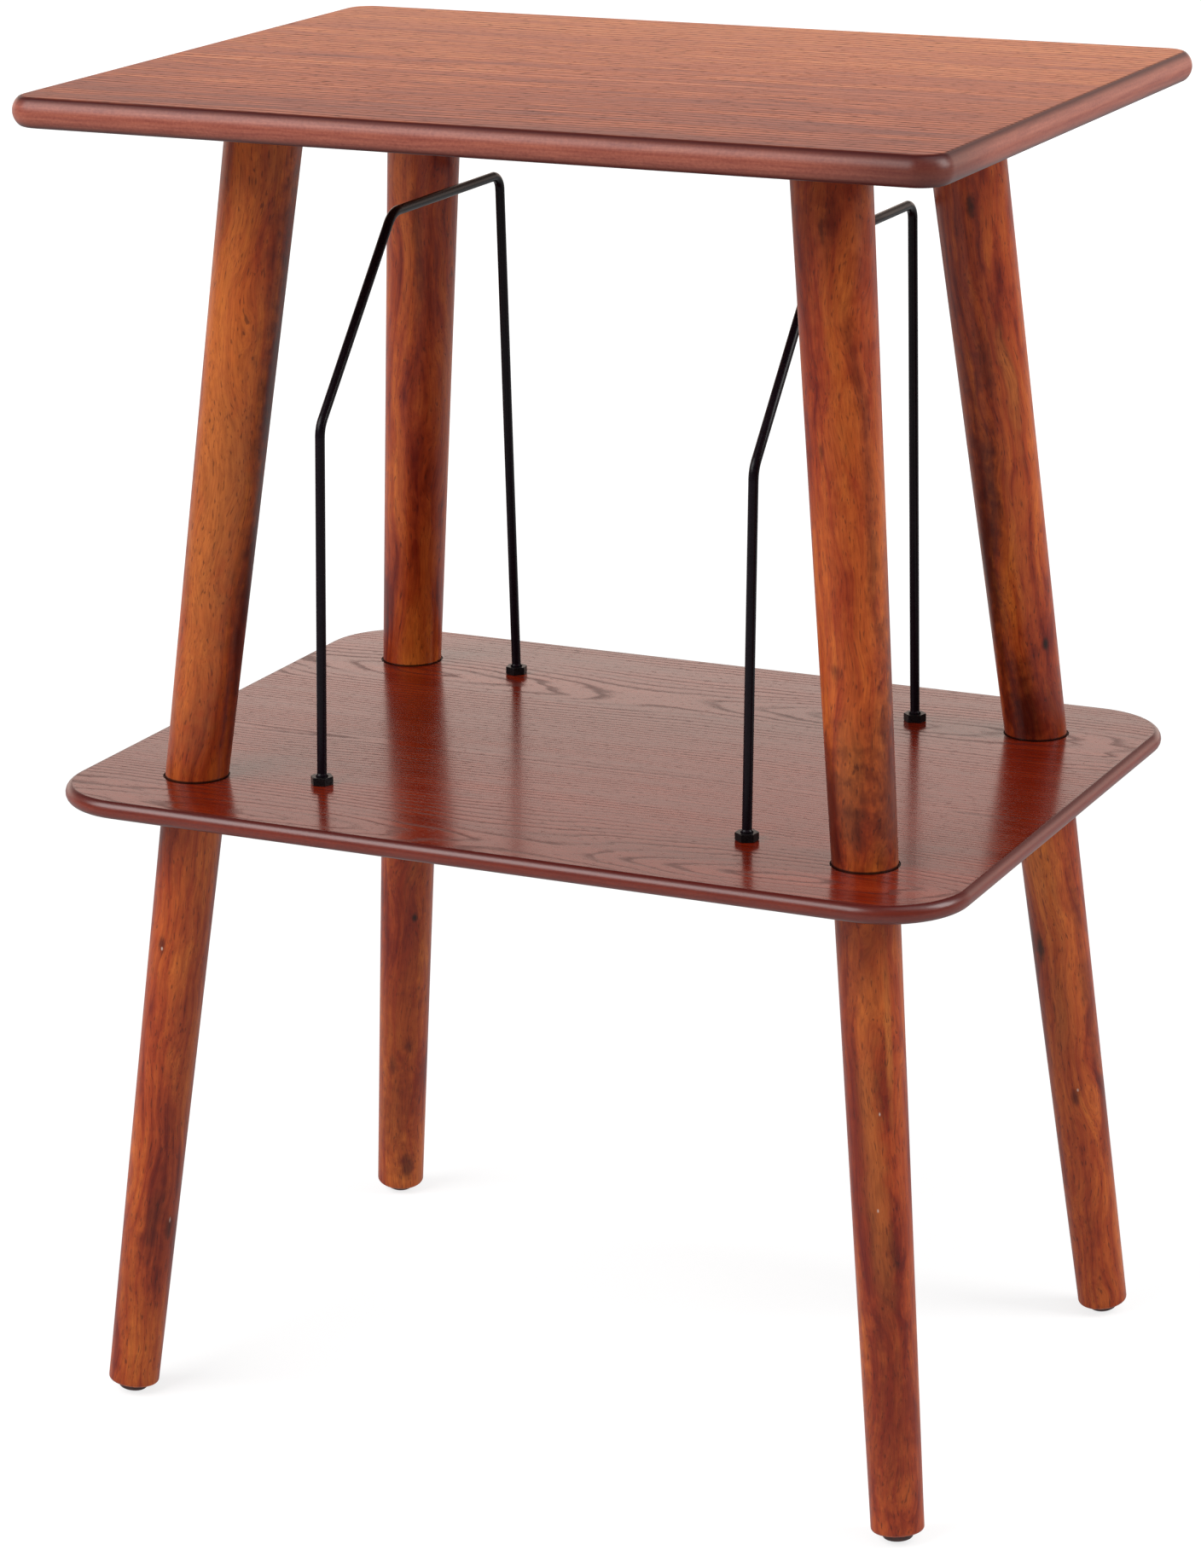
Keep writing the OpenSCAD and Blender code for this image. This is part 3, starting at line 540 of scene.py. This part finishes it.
wire = powder_coat("black_powder_coat_wire", [(0.3, "#0a050a"), (0.7, "#150c14")], 0.24)
dress("left_divider", wire)
dress("right_divider", wire)
black_nut = powder_coat("black_oxide_nut", [(0.3, "#0a0809"), (0.7, "#1a1618")], 0.24)
eased("divider_upper_nuts", black_nut, 0.25)
eased("divider_lower_nuts", black_nut, 0.25)
zinc = plated_metal("zinc_plated_steel", [(0.3, "#b4b6b8"), (0.7, "#d0d2d4")], 0.28)
for node in ("divider_washers", "top_bolts", "shelf_bolts", "glide_nails"):
    dress(node, zinc)
brass = plated_metal("brass_insert", [(0.3, "#a98c4a"), (0.7, "#c9ad68")], 0.32)
dress("top_inserts", brass)
dress("leg_inserts", brass)


# ---------- Floor, light and camera ----------

WHITE = (1, 1, 1, 1)
FLOOR_SIZE = 14.0                    # metres
OWN_WHITE_FROM, OWN_WHITE_TO = 0.6, 2.6    # metres from the middle between which the floor's own white grows
OWN_WHITE = 0.78                     # its share under the stand; the rest takes the shadow
FLOOR_MIRRORED = 0.42                # the floor's white in the lacquer, where all of it would hide the wood's colour

MIRRORED_TINT = (1.0, 0.83, 0.74, 1)
MIRRORED_FACING = (-0.427, 0.904, 0.0)    # straight behind the stand, seen from the camera
MIRRORED_DARK, MIRRORED_BRIGHT = 0.12, 1.88
LIGHT_LEVEL = 0.38
LAMPS_FACE = (0, 0, 0.40)            # metres: about the stand's middle


def studio_floor():
    """A plain white floor that keeps the stand's soft shadow."""
    bpy.ops.object.select_all(action="DESELECT")
    bpy.ops.mesh.primitive_plane_add(size=FLOOR_SIZE, location=(0, 0, 0))
    made = bpy.context.object
    made.name = "floor"
    material = bpy.data.materials.new("white_studio_floor")
    material.use_nodes = True
    tree = material.node_tree
    tree.nodes.clear()
    path = add(tree, "LightPath")
    mirrored = add(tree, "Math", [path.outputs["Is Glossy Ray"], path.outputs["Is Transmission Ray"]],
                   operation="MAXIMUM")
    seen = add(tree, "Math", [path.outputs["Is Camera Ray"], mirrored], operation="MAXIMUM")
    # As light the floor is plain white paint. As it is seen, most of its white is its own and the rest takes the
    # shadow; far from the stand, where the lamps don't reach, all of it is its own.
    centre = add(tree, "VectorMath", [add(tree, "TexCoord").outputs["Object"]], operation="LENGTH").outputs["Value"]
    own = add(tree, "MapRange", {"Value": centre, "From Min": OWN_WHITE_FROM, "From Max": OWN_WHITE_TO,
                                 "To Min": OWN_WHITE, "To Max": 1.0}, interpolation_type="SMOOTHSTEP")
    glow = add(tree, "Math", [mirrored, FLOOR_MIRRORED, path.outputs["Is Camera Ray"]], operation="MULTIPLY_ADD")
    glow = add(tree, "Math", [glow, own], operation="MULTIPLY")
    paint = add(tree, "Mix", {0: seen, 6: linear("#e8e8e8"), 7: linear("#8f8f8f")}, data_type="RGBA").outputs[2]
    shade = add(tree, "BsdfDiffuse", {"Color": paint})
    white = add(tree, "Emission", {"Color": WHITE, "Strength": glow})
    add(tree, "OutputMaterial", {"Surface": add(tree, "AddShader", [shade, white])})
    made.data.materials.append(material)


def studio_world():
    """Plain white as it is seen. As the lacquer mirrors it, a slightly warm white low behind the stand that is dark
    overhead and on the camera's side. As light, a softer level from all round."""
    world = bpy.data.worlds.new("studio")
    scene.world = world
    world.use_nodes = True
    tree = world.node_tree
    tree.nodes.clear()
    path = add(tree, "LightPath")
    way = add(tree, "TexCoord").outputs["Generated"]
    up = add(tree, "SeparateXYZ", {"Vector": way}).outputs["Z"]
    low = add(tree, "MapRange", {"Value": up, "From Min": 0.24, "From Max": 0.385, "To Min": 1.0, "To Max": 0.0},
              interpolation_type="SMOOTHSTEP")
    behind = add(tree, "VectorMath", [way, MIRRORED_FACING], operation="DOT_PRODUCT").outputs["Value"]
    behind = add(tree, "MapRange", {"Value": behind, "From Min": 0.1, "From Max": 0.9},
                 interpolation_type="SMOOTHSTEP")
    sweep = add(tree, "Math", [low, behind], operation="MULTIPLY")
    strength = add(tree, "MapRange", {"Value": sweep, "To Min": MIRRORED_DARK, "To Max": MIRRORED_BRIGHT})
    seen = add(tree, "Background", {"Color": WHITE, "Strength": 1.0})
    mirrored = add(tree, "Background", {"Color": MIRRORED_TINT, "Strength": strength})
    light = add(tree, "Background", {"Color": WHITE, "Strength": LIGHT_LEVEL})
    in_mirror = add(tree, "Math", [path.outputs["Is Glossy Ray"], path.outputs["Is Transmission Ray"]],
                    operation="MAXIMUM")
    mixed = add(tree, "MixShader", [in_mirror, light, mirrored])
    mixed = add(tree, "MixShader", [path.outputs["Is Camera Ray"], mixed, seen])
    add(tree, "OutputWorld", {"Surface": mixed})


def direction(azimuth, elevation):
    """The direction from the stand at an azimuth and elevation in radians. Azimuth 0 is straight in front."""
    return Vector((math.sin(azimuth) * math.cos(elevation), -math.cos(azimuth) * math.cos(elevation),
                   math.sin(elevation)))


def softbox(name, azimuth, elevation, distance, width, height, power):
    """An upright soft light that faces the stand's middle: degrees, metres and watts."""
    light = bpy.data.lights.new(name, "AREA")
    light.shape = "RECTANGLE"
    light.size, light.size_y = width, height
    light.energy = power
    back = direction(math.radians(azimuth), math.radians(elevation))
    lamp = bpy.data.objects.new(name, light)
    lamp.location = Vector(LAMPS_FACE) + back * distance
    lamp.rotation_euler = back.to_track_quat("Z", "Y").to_euler()
    scene.collection.objects.link(lamp)


def camera():
    """The photograph's viewpoint, solved from the stand's straight edges."""
    azimuth, elevation, roll = math.radians(25.315), math.radians(17.199), math.radians(-0.603)
    aim, distance = Vector((37.197, -103.465, 340.0)) * MM, 2155.706 * MM
    back = direction(azimuth, elevation)
    right = Vector((math.cos(azimuth), math.sin(azimuth), 0))
    up = back.cross(right)
    turned_right = math.cos(roll) * right + math.sin(roll) * up
    turned_up = -math.sin(roll) * right + math.cos(roll) * up
    data = bpy.data.cameras.new("camera")
    data.sensor_width = 36.0
    data.lens = 104.392
    data.clip_start, data.clip_end = 0.05, 60.0
    made = bpy.data.objects.new("camera", data)
    facing = Matrix((turned_right, turned_up, back)).transposed().to_4x4()
    made.matrix_world = Matrix.Translation(aim + back * distance) @ facing
    scene.collection.objects.link(made)
    scene.camera = made


studio_floor()
studio_world()
# The lamps stand so high that neither panel mirrors them to someone on the far side of the stand
softbox("left_softbox", azimuth=-40, elevation=38, distance=2.6, width=2.2, height=1.5, power=68)
softbox("right_softbox", azimuth=104, elevation=32, distance=2.2, width=0.9, height=1.2, power=30)
softbox("top_softbox", azimuth=80, elevation=62, distance=2.0, width=1.2, height=1.2, power=6)
camera()
scene.view_settings.view_transform = "Standard"
